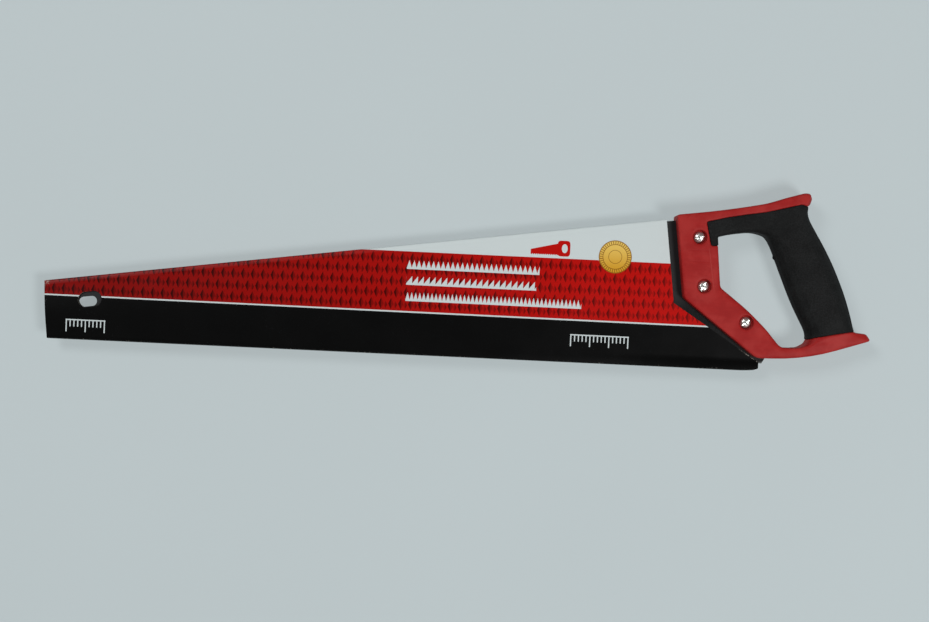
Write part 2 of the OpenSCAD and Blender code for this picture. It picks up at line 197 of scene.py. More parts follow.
# shared shop work
def toMesh(bm, name):
    mesh = bpy.data.meshes.new(name)
    bm.to_mesh(mesh)
    bm.free()
    return mesh


def link(name, mesh, *materials):
    piece = bpy.data.objects.new(name, mesh)
    scene.collection.objects.link(piece)
    for m in materials:
        mesh.materials.append(m)
    return piece


def finishMesh(mesh, sharp):
    mesh.shade_smooth()
    mesh.set_sharp_from_angle(angle=math.radians(sharp))


def applyAll(piece):
    # the modifiers' result becomes the piece's own mesh
    graph = bpy.context.evaluated_depsgraph_get()
    done = bpy.data.meshes.new_from_object(piece.evaluated_get(graph), depsgraph=graph)
    piece.modifiers.clear()
    done.name = piece.name
    piece.data = done


def boolean(piece, tool, operation):
    cut = piece.modifiers.new("cut", "BOOLEAN")
    cut.operation = operation
    cut.object = tool
    cut.solver = "EXACT"
    cut.material_mode = "TRANSFER"
    applyAll(piece)
    bpy.data.objects.remove(tool)


def spin(bm, outline, steps, weld):
    # an outline of (radius, height) in metres, once round the Z axis
    ring = [bm.verts.new((r, 0, h)) for r, h in outline]
    edges = [bm.edges.new(pair) for pair in zip(ring, ring[1:])]
    bmesh.ops.spin(bm, geom=edges, cent=(0, 0, 0), axis=(0, 0, 1), angle=2 * math.pi,
                   steps=steps, use_merge=True)
    bmesh.ops.remove_doubles(bm, verts=bm.verts, dist=weld)
    bmesh.ops.recalc_face_normals(bm, faces=bm.faces)


# floor and studio, in metres
studio = {
    "floorColour": linear(189, 199, 201), "floorTones": (0.99, 1.02), "evenness": 0.64,
    "radius": 3.4, "wall": 2.6, "sweep": 0.9, "sweepSteps": 8, "roundSteps": 64,
    "keyPlace": (1.35, -0.85, 2.15), "keySize": 0.85, "keyPower": 44,
    "fillPlace": (-1.3, 1.1, 2.05), "fillSize": 1.0, "fillPower": 32,
    "aim": (0.05, 0, 0), "world": 0.07, "worldTint": (0.96, 0.99, 1, 1),
}


def paperMaterial():
    material, tree, shader = newMaterial("pale paper")
    vector = toeSpace(tree)[0]
    grain = noise(tree, vector, 0.35, 3)
    cloud = noise(tree, vector, 0.004, 1)
    low, high = [tinted(studio["floorColour"], factor) for factor in studio["floorTones"]]
    tone = paint(tree, cloud, low, high)
    put(tree, shader.inputs["Base Color"], tone)
    shader.inputs["Roughness"].default_value = 0.9
    shader.inputs["Specular IOR Level"].default_value = 0.1
    bump(tree, shader, grain, 0.04, 0.3)
    # seen straight or in a reflection, the paper keeps most of its own even tone under the shadow
    glow = tree.nodes.new("ShaderNodeEmission")
    put(tree, glow.inputs["Color"], tone)
    path = tree.nodes.new("ShaderNodeLightPath")
    rays = ("Is Camera Ray", "Is Glossy Ray", "Is Transmission Ray")
    seen = either(tree, *[path.outputs[ray] for ray in rays])
    both = tree.nodes.new("ShaderNodeMixShader")
    put(tree, both.inputs[0], calc(tree, "MULTIPLY", seen, studio["evenness"]))
    tree.links.new(shader.outputs[0], both.inputs[1])
    tree.links.new(glow.outputs[0], both.inputs[2])
    tree.links.new(both.outputs[0], tree.nodes["Material Output"].inputs[0])
    return material


def makeFloor():
    # a round floor that sweeps up into a wall
    bend = studio["sweep"]
    corner = studio["radius"] - bend
    outline = [(0, 0), (corner, 0)]
    for k in range(1, studio["sweepSteps"] + 1):
        a = math.radians(90 * k / studio["sweepSteps"])
        outline.append((corner + bend * math.sin(a), bend * (1 - math.cos(a))))
    outline.append((studio["radius"], studio["wall"]))
    bm = bmesh.new()
    spin(bm, outline, studio["roundSteps"], 1e-5)
    mesh = toMesh(bm, "sweep")
    mesh.shade_smooth()
    sweep = link("sweep", mesh, paperMaterial())


def makeLamp(name, at, size, power):
    lamp = bpy.data.lights.new(name, "AREA")
    lamp.shape = "DISK"
    lamp.size = size
    lamp.energy = power
    body = bpy.data.objects.new(name, lamp)
    body.location = at
    body.rotation_mode = "QUATERNION"
    body.rotation_quaternion = (Vector(studio["aim"]) - Vector(at)).to_track_quat("-Z", "Y")
    scene.collection.objects.link(body)


def makeWorld():
    world = bpy.data.worlds.new("room")
    world.use_nodes = True
    background = world.node_tree.nodes["Background"]
    background.inputs[0].default_value = studio["worldTint"]
    background.inputs[1].default_value = studio["world"]
    scene.world = world


makeFloor()
makeLamp("key", studio["keyPlace"], studio["keySize"], studio["keyPower"])
makeLamp("fill", studio["fillPlace"], studio["fillSize"], studio["fillPower"])
makeWorld()
print("camera, floor and lamps ready")


# blade: the CAD node itself, with ground steel along the teeth and a dark coat above
bladeFinish = {
    "coat": linear(25, 26, 27), "steel": linear(176, 178, 176), "tint": linear(96, 98, 112),
    "coatRough": 0.48, "groundTo": 5.4, "tintedTo": (3.2, 0.4),
    # the coat's darker zone beside the handle is painted shade, and is a little less rough
    "paintedShade": linear(6, 6, 6), "paintedShadeFrom": (478, 500), "paintedShadeBelow": (64, 42), "paintedShadeDepth": 0.8, "smoothInPaintedShade": 0.2,
}


def bladeMaterial():
    b = bladeFinish
    material, tree, shader = newMaterial("coated steel")
    vector, x, y = toeSpace(tree)[:3]
    grain = noise(tree, stretched(tree, vector, (1.0, 0.12, 1.0)), 1.6, 4, 0.6)
    fine = noise(tree, vector, 3.5, 3, 0.6)
    # the height above the tooth tips wavers, so that no border is ruled
    height = calc(tree, "ADD", y, calc(tree, "MULTIPLY", noise(tree, vector, 0.25, 2), 0.7))
    ground = ease(tree, height, b["groundTo"] + 0.5, b["groundTo"])
    tips = ease(tree, height, *b["tintedTo"])
    coat = paint(tree, fine, tinted(b["coat"], 0.75), tinted(b["coat"], 1.3))
    # painted shade: the coat is darkened towards the heel, beside the handle, where the handle shades the
    # blade, and is a little less rough there
    paintedShadeMask = every(tree, ease(tree, x, *b["paintedShadeFrom"]), ease(tree, height, *b["paintedShadeBelow"]))
    coat = paint(tree, calc(tree, "MULTIPLY", paintedShadeMask, b["paintedShadeDepth"]), coat, b["paintedShade"])
    steel = paint(tree, grain, tinted(b["steel"], 0.75), tinted(b["steel"], 1.15))
    steel = paint(tree, calc(tree, "MULTIPLY", tips, 0.45), steel, b["tint"])
    put(tree, shader.inputs["Base Color"], paint(tree, ground, coat, steel))
    put(tree, shader.inputs["Metallic"], calc(tree, "MULTIPLY", ground, 0.95))
    rough = calc(tree, "MULTIPLY_ADD", grain, 0.16, b["coatRough"] - 0.08)
    rough = calc(tree, "SUBTRACT", rough, calc(tree, "MULTIPLY", paintedShadeMask, b["smoothInPaintedShade"]))
    rough = calc(tree, "SUBTRACT", rough, calc(tree, "MULTIPLY", ground, 0.12))
    put(tree, shader.inputs["Roughness"], rough)
    bump(tree, shader, calc(tree, "ADD", fine, grain), 0.02, 0.5)
    shader.inputs["Specular IOR Level"].default_value = 0.3
    return material


nodes["blade"].data.materials.clear()
nodes["blade"].data.materials.append(bladeMaterial())
print("blade finished")


# moulded plastic, for the handle and its soft cover
def smoothStep(value, low, high):
    t = min(1, max(0, (value - low) / (high - low)))
    return t * t * (3 - 2 * t)


def raiseCrown(bm, crown):
    # the rail curves up a little more towards its end
    for v in bm.verts:
        along = (v.co.x - toe.x) / mm
        topLine = crown["lineHeight"] + crown["lineSlope"] * (along - crown["lineAt"])
        near = smoothStep((v.co.y - toe.y) / mm, topLine - crown["depth"], topLine)
        fade = smoothStep(along, *crown["grows"]) * (1 - smoothStep(along, *crown["fades"]))
        v.co.y += crown["rise"] * mm * near * fade


def calmFaces(bm, finish):
    # the faces square to Z lose the ripple of the skin's cells
    x0, x1, y0, y1 = finish["calmArea"]
    low, high = place(x0, y0), place(x1, y1)
    calm = [v for v in bm.verts if low.x < v.co.x < high.x and low.y < v.co.y < high.y
            and abs(v.co.z - toe.z) > finish["calmAbove"] * mm]
    for k in range(finish["calm"]):
        bmesh.ops.smooth_vert(bm, verts=calm, factor=0.5, use_axis_z=True)


def trueRecesses(bm, finish):
    # the walls of the screw recesses are made round again
    radius = finish["recess"]
    deepest, highest = finish["recessWall"]
    for spot in screwSpots:
        centre = place(*spot)
        for v in bm.verts:
            out = (v.co - centre).xy
            onWall = abs(out.length / mm - radius) < finish["recessReach"]
            if onWall and deepest < abs(v.co.z - toe.z) / mm < highest:
                v.co.xy = centre.xy + out.normalized() * radius * mm


def moulded(nodeName, pieceName, finish):
    # an even skin over the CAD solid and its small round additions, with eased edges
    bm = bmesh.new()
    bm.from_mesh(nodes[nodeName].data)
    bmesh.ops.remove_doubles(bm, verts=bm.verts, dist=0.002 * mm)
    for x, y, radius, tall in finish["bulbs"]:
        shape = Matrix.Translation(place(x, y)) @ Matrix.Diagonal((1, 1, tall, 1))
        bmesh.ops.create_icosphere(bm, subdivisions=3, radius=radius * mm, matrix=shape)
    mesh = toMesh(bm, pieceName)
    mesh.materials.clear()
    piece = link(pieceName, mesh)
    skin = piece.modifiers.new("skin", "REMESH")
    skin.mode = "VOXEL"
    skin.voxel_size = finish["cell"] * mm
    applyAll(piece)
    bm = bmesh.new()
    bm.from_mesh(piece.data)
    for k in range(finish["ease"]):
        bmesh.ops.smooth_vert(bm, verts=bm.verts, factor=0.5,
                              use_axis_x=True, use_axis_y=True, use_axis_z=True)
    if "crown" in finish:
        raiseCrown(bm, finish["crown"])
    calmFaces(bm, finish)
    if "recess" in finish:
        trueRecesses(bm, finish)
    bm.to_mesh(piece.data)
    bm.free()
    piece.data.shade_smooth()
    print(pieceName, "skin:", len(piece.data.polygons), "faces")
    return piece


# hard plastic of the handle; a bulb is x, y, radius and how much taller than wide it is
hardFinish = {
    # the dust colour is real dust and scuffs, and also paints a highlight along the ridge's crest
    "red": linear(162, 32, 30), "deep": linear(145, 24, 23), "dustAndHighlight": linear(180, 84, 78), "rough": 0.56,
    # the sunk ribs are painted darker with the deep red, as painted shade in their grooves
    "top": (9.4, 10.2), "ribs": (90.4, 81.6), "ribWidth": 1.1, "ribSpan": (498.5, 516.0),
    "ridgeLean": 0.159, "ridge": (528.9, 529.4), "ridgeSpan": (60, 92),
    "cell": 0.7, "ease": 5, "calm": 60, "calmArea": (564, 660, -5, 50), "calmAbove": 1.2,
    "bulbs": ((590.9, 135.0, 4.1, 2.1), (590.8, 132.4, 3.5, 2.1)),
    "crown": {
        "lineAt": 573, "lineHeight": 133.0, "lineSlope": 0.26, "depth": 8.0,
        "rise": 1.3, "grows": (556, 577), "fades": (586, 594),
    },
    "recess": 5.5, "recessReach": 0.75, "recessWall": (screwSeat + 0.4, cheekFace - 0.45),
}


def hardMaterial():
    h = hardFinish
    material, tree, shader = newMaterial("satin red plastic")
    c = calculator(tree)
    vector, x, y, z = toeSpace(tree)
    cloud = noise(tree, vector, 0.06, 3, 0.55)
    cell = noise(tree, vector, 2.6, 2, 0.6)
    streak = noise(tree, stretched(tree, vector, (0.25, 1.0, 1.0)), 0.22, 3, 0.6)
    tone = c("ADD", c("MULTIPLY", cloud, 0.6), c("MULTIPLY", streak, 0.4))
    red = paint(tree, ease(tree, tone, 0.3, 0.7), h["deep"], h["red"])
    red = paint(tree, c("MULTIPLY", ease(tree, cloud, 0.4, 0.62), 0.1), red, h["dustAndHighlight"])
    # two faint sunk lines across the cheek, sunk in the bump and painted darker as painted shade in the
    # grooves
    onTop = ease(tree, c("ABSOLUTE", z), *h["top"])
    half = h["ribWidth"] / 2
    lines = either(tree, *[between(tree, y, rib - half, rib + half, 0.8) for rib in h["ribs"]])
    sunk = every(tree, lines, between(tree, x, *h["ribSpan"], 1.5), onTop)
    red = paint(tree, c("MULTIPLY", sunk, 0.35), red, h["deep"])
    # a low ridge where the cheek turns over into the hand opening, raised in the bump, with a painted
    # highlight along its crest
    ridge = c("ADD", x, c("MULTIPLY", y, h["ridgeLean"]))
    ridge = every(tree, between(tree, ridge, *h["ridge"], 0.45),
                  between(tree, y, *h["ridgeSpan"], 3), onTop)
    red = paint(tree, c("MULTIPLY", ridge, 0.3), red, h["dustAndHighlight"])
    scuff = c("MULTIPLY", ease(tree, noise(tree, vector, 0.9, 5, 0.7), 0.66, 0.8), 0.35)
    put(tree, shader.inputs["Base Color"], paint(tree, scuff, red, h["dustAndHighlight"]))
    put(tree, shader.inputs["Roughness"], c("MULTIPLY_ADD", cell, 0.14, h["rough"] - 0.07))
    parting = between(tree, c("ABSOLUTE", z), -1, 0.16, 0.08)
    height = c("SUBTRACT", c("MULTIPLY", cell, 0.05), c("MULTIPLY", sunk, 0.5))
    height = c("ADD", height, c("MULTIPLY", ridge, 0.4))
    height = c("ADD", height, c("MULTIPLY", parting, 0.7))
    bump(tree, shader, height, 0.22, 0.8)
    shader.inputs["Specular IOR Level"].default_value = 0.15
    return material


handleShell = moulded("handle_core", "handleShell", hardFinish)
handleShell.data.materials.append(hardMaterial())
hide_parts("handle_core")
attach(handleShell, "saw")


# soft grip cover, with one small nib inside the opening
softFinish = {
    "black": linear(3, 3, 3), "worn": linear(33, 34, 34), "rough": 0.72,
    "bulbs": ((567.9, 88.0, 1.8, 1.2),),
    "cell": 0.6, "ease": 3, "calm": 14, "calmArea": (530, 660, 10, 150), "calmAbove": 6.0,
}


def softMaterial():
    material, tree, shader = newMaterial("stippled rubber")
    c = calculator(tree)
    space = toeSpace(tree)
    vector, z = space[0], space[3]
    stipple = noise(tree, vector, 0.95, 3, 0.7)
    broad = noise(tree, vector, 0.07, 3, 0.5)
    tone = c("ADD", c("MULTIPLY", stipple, 0.75), c("MULTIPLY", broad, 0.25))
    shade = ease(tree, tone, 0.32, 0.78)
    put(tree, shader.inputs["Base Color"], paint(tree, shade, softFinish["black"], softFinish["worn"]))
    put(tree, shader.inputs["Roughness"], c("MULTIPLY_ADD", stipple, 0.2, softFinish["rough"] - 0.1))
    parting = between(tree, c("ABSOLUTE", z), -1, 0.2, 0.1)
    bump(tree, shader, c("ADD", stipple, c("MULTIPLY", parting, 0.6)), 0.16, 0.7)
    shader.inputs["Specular IOR Level"].default_value = 0.16
    return material


gripCover = moulded("grip_overmould", "gripCover", softFinish)
gripCover.data.materials.append(softMaterial())
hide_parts("grip_overmould")
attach(gripCover, "saw")


# card sleeve: one sheet folded round the blade, with a glued lap on the far side
card = {
    "thick": 0.45, "radius": 1.225, "foldY": -0.6, "backStart": (-3.63, 42.2), "backAngle": 8.27,
    "lapWidth": 14.0, "lapGap": 0.05, "farPanelTo": 0.985, "upperFoldTuck": 0.2,
    "from": -14.0, "to": 572.0, "lengthSteps": 150, "panelSteps": 26, "foldSteps": 7, "lapSteps": 5,
    "bow": 0.55, "bowPower": 1.7, "heelRise": 1.1, "heelRiseFrom": 542, "heelRiseOver": 17,
    "toeOver": 1.6, "toeHeight": 42.0, "toeSwell": 0.5, "toeStraightTo": 52, "toeArc": (44, -2),
    "toeArcSteps": 12,
    "turnAt": (490.1, 48.6), "frontLean": 7.4, "endX": 558.8, "endY": 5.0,
    "heelLowest": (5.5, -1.9), "heelCorner": (0.4, -0.2), "heelChamfer": 0.8,
    "slotAt": (31.2, 30.2), "slotLength": 18.6, "slotWidth": 12.3, "slotSteps": 48, "sharp": 40,
}
backSlope = math.tan(math.radians(card["backAngle"]))


def sleevePath():
    # the sheet seen end on: (share of the way from the lower to the upper fold, extra y, z)
    r = card["radius"]
    outer = r + card["thick"] + card["lapGap"]
    path = []
    for k in range(card["panelSteps"] + 1):
        path.append((card["farPanelTo"] * (1 - k / card["panelSteps"]), 0, -r))
    for k in range(1, card["foldSteps"]):
        a = math.pi * k / card["foldSteps"]
        path.append((0, -r * math.sin(a), -r * math.cos(a)))
    for k in range(card["panelSteps"] + 1):
        path.append((k / card["panelSteps"], 0, r))
    middle, half = (r - outer) / 2, (r + outer) / 2
    for k in range(1, card["foldSteps"]):
        a = math.pi * k / card["foldSteps"]
        path.append((1, (half - card["upperFoldTuck"]) * math.sin(a), middle + half * math.cos(a)))
    for k in range(card["lapSteps"] + 1):
        path.append((1, -card["lapWidth"] * k / card["lapSteps"], -outer))
    return path


def bentSheet():
    path = sleevePath()
    bm = bmesh.new()
    bmesh.ops.create_grid(bm, x_segments=card["lengthSteps"], y_segments=len(path) - 1, size=1)
    for v in bm.verts:
        along = card["from"] + (card["to"] - card["from"]) * (v.co.x + 1) / 2
        share, extra, z = path[round((v.co.y + 1) / 2 * (len(path) - 1))]
        top = card["backStart"][1] + (along - card["backStart"][0]) * backSlope
        nearHeel = max(0, (along - card["heelRiseFrom"]) / card["heelRiseOver"])
        bottom = card["foldY"] + card["heelRise"] * nearHeel ** 2
        height = bottom + (top - bottom) * share + extra
        upPanel = min(1, max(0, (height - bottom) / (top - bottom)))
        # the panels bow outwards, here more and there less
        swell = math.sin(math.pi * upPanel) ** card["bowPower"]
        wave = 0.62 + 0.25 * math.sin(along * 0.017 + 0.6) + 0.13 * math.sin(along * 0.043 + height * 0.05)
        lift = card["bow"] * swell * wave * (1 if z > 0 else -1)
        v.co = place(along, height, z + lift)
    bmesh.ops.recalc_face_normals(bm, faces=bm.faces)
    return toMesh(bm, "cardSleeve")


def sleeveOutline():
    # the toe end is a long shallow arc, and the heel end loses its lowest corner
    above, below = 140, -8
    arcTop, arcLow = card["toeArc"]
    lowX, lowY = card["heelLowest"]
    cornerX, cornerY = card["heelCorner"]
    turnX, turnY = card["turnAt"]
    lean = math.tan(math.radians(card["frontLean"]))

    def toeX(y):
        return -card["toeOver"] - toeRake * y / card["toeHeight"]

    outline = [(toeX(above), above), (toeX(card["toeStraightTo"]), card["toeStraightTo"])]
    for k in range(1, card["toeArcSteps"]):
        y = arcTop - (arcTop - arcLow) * k / card["toeArcSteps"]
        swell = card["toeSwell"] * math.sin(math.pi * k / card["toeArcSteps"])
        outline.append((toeX(y) - swell, y))
    outline += [
        (toeX(below), below), (card["endX"] - lowX, below), (card["endX"] - lowX, lowY),
        (card["endX"] - cornerX, cornerY), (card["endX"], cornerY + card["heelChamfer"]),
        (card["endX"], card["endY"]), (turnX, turnY), (turnX - (above - turnY) * lean, above),
    ]
    return outline


def prism(name, corners, low, high, material):
    bm = bmesh.new()
    face = bm.faces.new([bm.verts.new(place(x, y, low)) for x, y in corners])
    grown = bmesh.ops.extrude_face_region(bm, geom=[face])
    bmesh.ops.translate(bm, verts=[v for v in grown["geom"] if isinstance(v, bmesh.types.BMVert)],
                        vec=(0, 0, (high - low) * mm))
    bmesh.ops.recalc_face_normals(bm, faces=bm.faces)
    return link(name, toMesh(bm, name), material)


def slotTool(material):
    # a cylinder pulled apart into a slot, along the blade's back
    radius = card["slotWidth"] / 2 * mm
    half = (card["slotLength"] - card["slotWidth"]) / 2 * mm
    turn = Matrix.Rotation(math.radians(card["backAngle"]), 3, "Z")
    bm = bmesh.new()
    bmesh.ops.create_cone(bm, cap_ends=True, segments=card["slotSteps"], radius1=radius, radius2=radius,
                          depth=20 * mm)
    for v in bm.verts:
        v.co.x += half if v.co.x > 0 else -half
    bmesh.ops.rotate(bm, verts=bm.verts, cent=(0, 0, 0), matrix=turn)
    bmesh.ops.translate(bm, verts=bm.verts, vec=place(*card["slotAt"]))
    return link("slotTool", toMesh(bm, "slotTool"), material)


def makeSleeve(printed, raw):
    sleeve = link("cardSleeve", bentSheet(), printed, raw)
    wall = sleeve.modifiers.new("wall", "SOLIDIFY")
    wall.thickness = card["thick"] * mm
    wall.offset = 0
    wall.material_offset_rim = 1
    applyAll(sleeve)
    boolean(sleeve, prism("outlineTool", sleeveOutline(), -9, 9, raw), "INTERSECT")
    boolean(sleeve, slotTool(raw), "DIFFERENCE")
    finishMesh(sleeve.data, card["sharp"])
    return sleeve


# the card's print: a lozenge is its middle and half sizes in shares of a cell, and a strip or a ruler
# is its ends in x and in y
printLayout = {
    "red": linear(181, 15, 10), "redToe": linear(122, 10, 7), "redRange": (-40, 500),
    "motif": linear(80, 7, 5), "motifToe": linear(52, 4, 3), "motifRange": (0, 420),
    "motifDepth": 0.8, "motifFade": (300, 520), "pitch": 7.8, "row": 9.1, "rowStart": 33.2,
    "tall": (-0.16, 0.0, 0.27, 0.5), "small": (0.28, -0.1, 0.2, 0.32),
    "white": linear(201, 209, 209), "black": linear(8, 8, 8), "card": linear(176, 170, 158),
    "line": (31.9, 33.0), "lineEnd": (30.6, 31.8), "lineLength": 540, "whiteAbove": 79.4,
    "strips": ((279.1, 383.5, 65.6, 72.6), (279.1, 381.5, 53.1, 60.1), (279.1, 417.5, 40.4, 47.4)),
    "stripPitches": (3.8, 4.6, 3.2), "stripRoot": 1.2,
    "rulers": ((13.5, 43.5, 4.0, 13.0), (410.5, 455.5, 10.8, 19.4)),
    "tickPitch": 3.0, "tickShare": 0.55, "rulerLine": 0.9,
    "gold": linear(204, 150, 40), "goldDeep": linear(120, 74, 22), "goldPale": linear(226, 190, 96),
    "disc": (442.5, 82.6, 13.0), "discTeeth": 40.0,
    "rough": 0.26, "foldDull": (-2.4, -1.4), "dullBy": 0.16,
    "sleekBelow": (9, 4), "sleekFrom": (420, 520), "sleekBy": 0.14,
    "wornCorner": (-4.0, 43.0), "wornCornerReach": (4.5, 1.0), "wornEdge": (545, 558),
    "wornToeAbove": (22, 36), "wornDepth": 0.8, "wornRough": 0.4,
}
# the saw sign: plate from and to, back (height at the toe, slope), block and hole (middle, half sizes)
sign = {
    "at": (375.5, 81.2), "plate": (0.3, 22.2), "back": (4.6, 0.24), "toothPitch": 1.7, "toothHeight": 1.6,
    "block": (26.4, 6.0, 5.0, 6.2), "hole": (27.0, 6.0, 2.3, 3.5),
}


def lozengeRed(tree, x, y):
    # red, a little duller towards the toe, with staggered lozenges in rows
    p = printLayout
    c = calculator(tree)
    red = paint(tree, ease(tree, x, *p["redRange"]), p["redToe"], p["red"])
    rows = c("DIVIDE", c("SUBTRACT", y, p["rowStart"]), p["row"])
    shift = c("MULTIPLY", c("MODULO", c("FLOOR", rows), 2.0), 0.5)
    u = c("SUBTRACT", c("FRACT", c("ADD", c("DIVIDE", x, p["pitch"]), shift)), 0.5)
    v = c("SUBTRACT", c("FRACT", rows), 0.5)

    def lozenge(atU, atV, halfU, halfV):
        far = c("ADD", c("DIVIDE", c("ABSOLUTE", c("SUBTRACT", u, atU)), halfU),
                c("DIVIDE", c("ABSOLUTE", c("SUBTRACT", v, atV)), halfV))
        return ease(tree, far, 1.06, 0.94)

    # one half of each lozenge is darker, and a faint line parts the rows
    tallSide = c("ADD", 0.5, c("MULTIPLY", ease(tree, u, -0.13, -0.19), 0.5))
    smallSide = c("ADD", 0.3, c("MULTIPLY", ease(tree, u, 0.26, 0.3), 0.45))
    shade = c("MULTIPLY", lozenge(*p["tall"]), tallSide)
    shade = c("MAXIMUM", shade, c("MULTIPLY", lozenge(*p["small"]), smallSide))
    shade = c("MAXIMUM", shade, c("MULTIPLY", ease(tree, c("ABSOLUTE", v), 0.485, 0.5), 0.25))
    depth = c("SUBTRACT", 1.0, c("MULTIPLY", ease(tree, x, *p["motifFade"]), 1.0 - p["motifDepth"]))
    motif = paint(tree, ease(tree, x, *p["motifRange"]), p["motifToe"], p["motif"])
    return paint(tree, c("MULTIPLY", shade, depth), red, motif)


def printZones(tree, x, y):
    # from the teeth up: black, a thin white line, red with its lozenges, and white
    p = printLayout
    c = calculator(tree)
    above = []
    for start, end in zip(p["line"], p["lineEnd"]):
        border = c("ADD", start, c("MULTIPLY", x, (end - start) / p["lineLength"]))
        above.append(ease(tree, c("SUBTRACT", y, border), -0.1, 0.1))
    ink = paint(tree, above[0], p["black"], p["white"])
    ink = paint(tree, above[1], ink, lozengeRed(tree, x, y))
    return paint(tree, ease(tree, y, p["whiteAbove"] - 0.1, p["whiteAbove"] + 0.1), ink, p["white"])


def toothStrips(tree, x, y):
    # three plain rows of saw teeth; those of the middle row lean
    p = printLayout
    c = calculator(tree)
    marks = []
    for k, (x0, x1, y0, y1) in enumerate(p["strips"]):
        rise = c("FRACT", c("DIVIDE", c("SUBTRACT", x, x0), p["stripPitches"][k]))
        if k != 1:
            rise = c("SUBTRACT", 1.0, c("ABSOLUTE", c("SUBTRACT", c("MULTIPLY", rise, 2.0), 1.0)))
        crest = c("ADD", y0 + p["stripRoot"], c("MULTIPLY", rise, y1 - y0 - p["stripRoot"]))
        under = ease(tree, c("SUBTRACT", y, crest), 0.12, -0.12)
        marks.append(every(tree, between(tree, x, x0, x1), under, ease(tree, y, y0 - 0.12, y0 + 0.12)))
    return marks


def rulerMarks(tree, x, y):
    # unnumbered ruler marks that hang from a line, every fifth one longer
    p = printLayout
    c = calculator(tree)
    marks = []
    for x0, x1, y0, y1 in p["rulers"]:
        steps = c("DIVIDE", c("SUBTRACT", x, x0), p["tickPitch"])
        near = c("ABSOLUTE", c("SUBTRACT", c("FRACT", c("ADD", steps, 0.5)), 0.5))
        tick = ease(tree, near, 0.17, 0.13)
        fifth = c("ABSOLUTE", c("SUBTRACT", c("FRACT", c("ADD", c("DIVIDE", steps, 5.0), 0.5)), 0.5))
        longer = c("MULTIPLY", ease(tree, fifth, 0.09, 0.07), (y1 - y0) * (1 - p["tickShare"]))
        foot = c("SUBTRACT", y1 - (y1 - y0) * p["tickShare"], longer)
        overFoot = ease(tree, c("SUBTRACT", y, foot), -0.1, 0.1)
        span = between(tree, x, x0 - 0.6, x1 + 0.6)
        marks.append(every(tree, tick, overFoot, ease(tree, y, y1 + 0.1, y1 - 0.1), span))
        marks.append(every(tree, span, between(tree, y, y1, y1 + p["rulerLine"])))
    return marks


def sawSign(tree, x, y):
    # a plain hand-saw sign: tapered plate, block and hand hole
    c = calculator(tree)
    sx = c("SUBTRACT", x, sign["at"][0])
    sy = c("SUBTRACT", y, sign["at"][1])

    def across(shape):
        atX, atY, halfX, halfY = shape
        return c("DIVIDE", c("SUBTRACT", sx, atX), halfX), c("DIVIDE", c("SUBTRACT", sy, atY), halfY)

    teeth = c("ABSOLUTE", c("SUBTRACT", c("FRACT", c("DIVIDE", sx, sign["toothPitch"])), 0.5))
    teeth = c("MULTIPLY", teeth, sign["toothHeight"])
    back = c("ADD", sign["back"][0], c("MULTIPLY", sx, sign["back"][1]))
    plateShape = every(tree, between(tree, sx, *sign["plate"]),
                       ease(tree, c("SUBTRACT", sy, teeth), 0.35, 0.6),
                       ease(tree, c("SUBTRACT", sy, back), 0.1, -0.1))
    bx, by = [c("ABSOLUTE", side) for side in across(sign["block"])]
    block = ease(tree, c("ADD", c("POWER", bx, 5.0), c("POWER", by, 5.0)), 1.08, 0.92)
    hx, hy = across(sign["hole"])
    outsideHole = ease(tree, c("ADD", c("POWER", hx, 2.0), c("POWER", hy, 2.0)), 0.92, 1.08)
    return either(tree, plateShape, every(tree, block, outsideHole))


def goldDisc(tree, x, y):
    # a plain gold disc with rings and a milled rim: where it lies, and its ink
    p = printLayout
    c = calculator(tree)
    atX, atY, r = p["disc"]
    gx = c("SUBTRACT", x, atX)
    gy = c("SUBTRACT", y, atY)
    far = c("SQRT", c("ADD", c("MULTIPLY", gx, gx), c("MULTIPLY", gy, gy)))
    turn = c("DIVIDE", c("ARCTAN2", gy, gx), 2 * math.pi)
    mill = c("ABSOLUTE", c("SUBTRACT", c("FRACT", c("MULTIPLY", turn, p["discTeeth"])), 0.5))
    bands = ((r - 0.7, r + 1), (r - 3.6, r - 3.1), (5.0, 5.4))
    rings = [between(tree, far, low, high, 0.1) for low, high in bands]
    milled = every(tree, between(tree, far, r - 3.2, r - 0.8, 0.1), ease(tree, mill, 0.3, 0.36))
    gold = paint(tree, ease(tree, gy, -r, r), p["gold"], p["goldPale"])
    gold = paint(tree, c("MULTIPLY", either(tree, *rings, milled), 0.85), gold, p["goldDeep"])
    return ease(tree, far, r + 0.1, r - 0.1), gold


def wornSpots(tree, vector, x, y):
    # specks where the card shows: the lower fold, the toe's corner and end, and the cut edge near the heel
    p = printLayout
    c = calculator(tree)
    specks = noise(tree, vector, 0.9, 4, 0.65)
    foldWear = every(tree, ease(tree, y, -0.6, -1.4), ease(tree, specks, 0.62, 0.68))
    fromX = c("POWER", c("SUBTRACT", x, p["wornCorner"][0]), 2.0)
    fromY = c("POWER", c("SUBTRACT", y, p["wornCorner"][1]), 2.0)
    corner = c("SQRT", c("ADD", fromX, fromY))
    cornerWear = every(tree, ease(tree, corner, *p["wornCornerReach"]), ease(tree, specks, 0.52, 0.6))
    fromEnd = c("ADD", x, c("MULTIPLY", y, toeRake / card["toeHeight"]))
    toeWear = every(tree, ease(tree, fromEnd, 0.2, -1.4), ease(tree, specks, 0.62, 0.68),
                    ease(tree, y, *p["wornToeAbove"]))
    # the distance from the cut edge beside the handle, square to it
    turnX, turnY = card["turnAt"]
    run, drop = card["endX"] - turnX, turnY - card["endY"]
    length = math.hypot(run, drop)
    offEdge = c("ADD", c("MULTIPLY", c("SUBTRACT", x, turnX), drop / length),
                c("MULTIPLY", c("SUBTRACT", y, turnY), run / length))
    edgeWear = every(tree, ease(tree, offEdge, -0.6, -0.3), between(tree, x, *p["wornEdge"], 3),
                     ease(tree, specks, 0.47, 0.63))
    return either(tree, foldWear, cornerWear, toeWear, edgeWear)


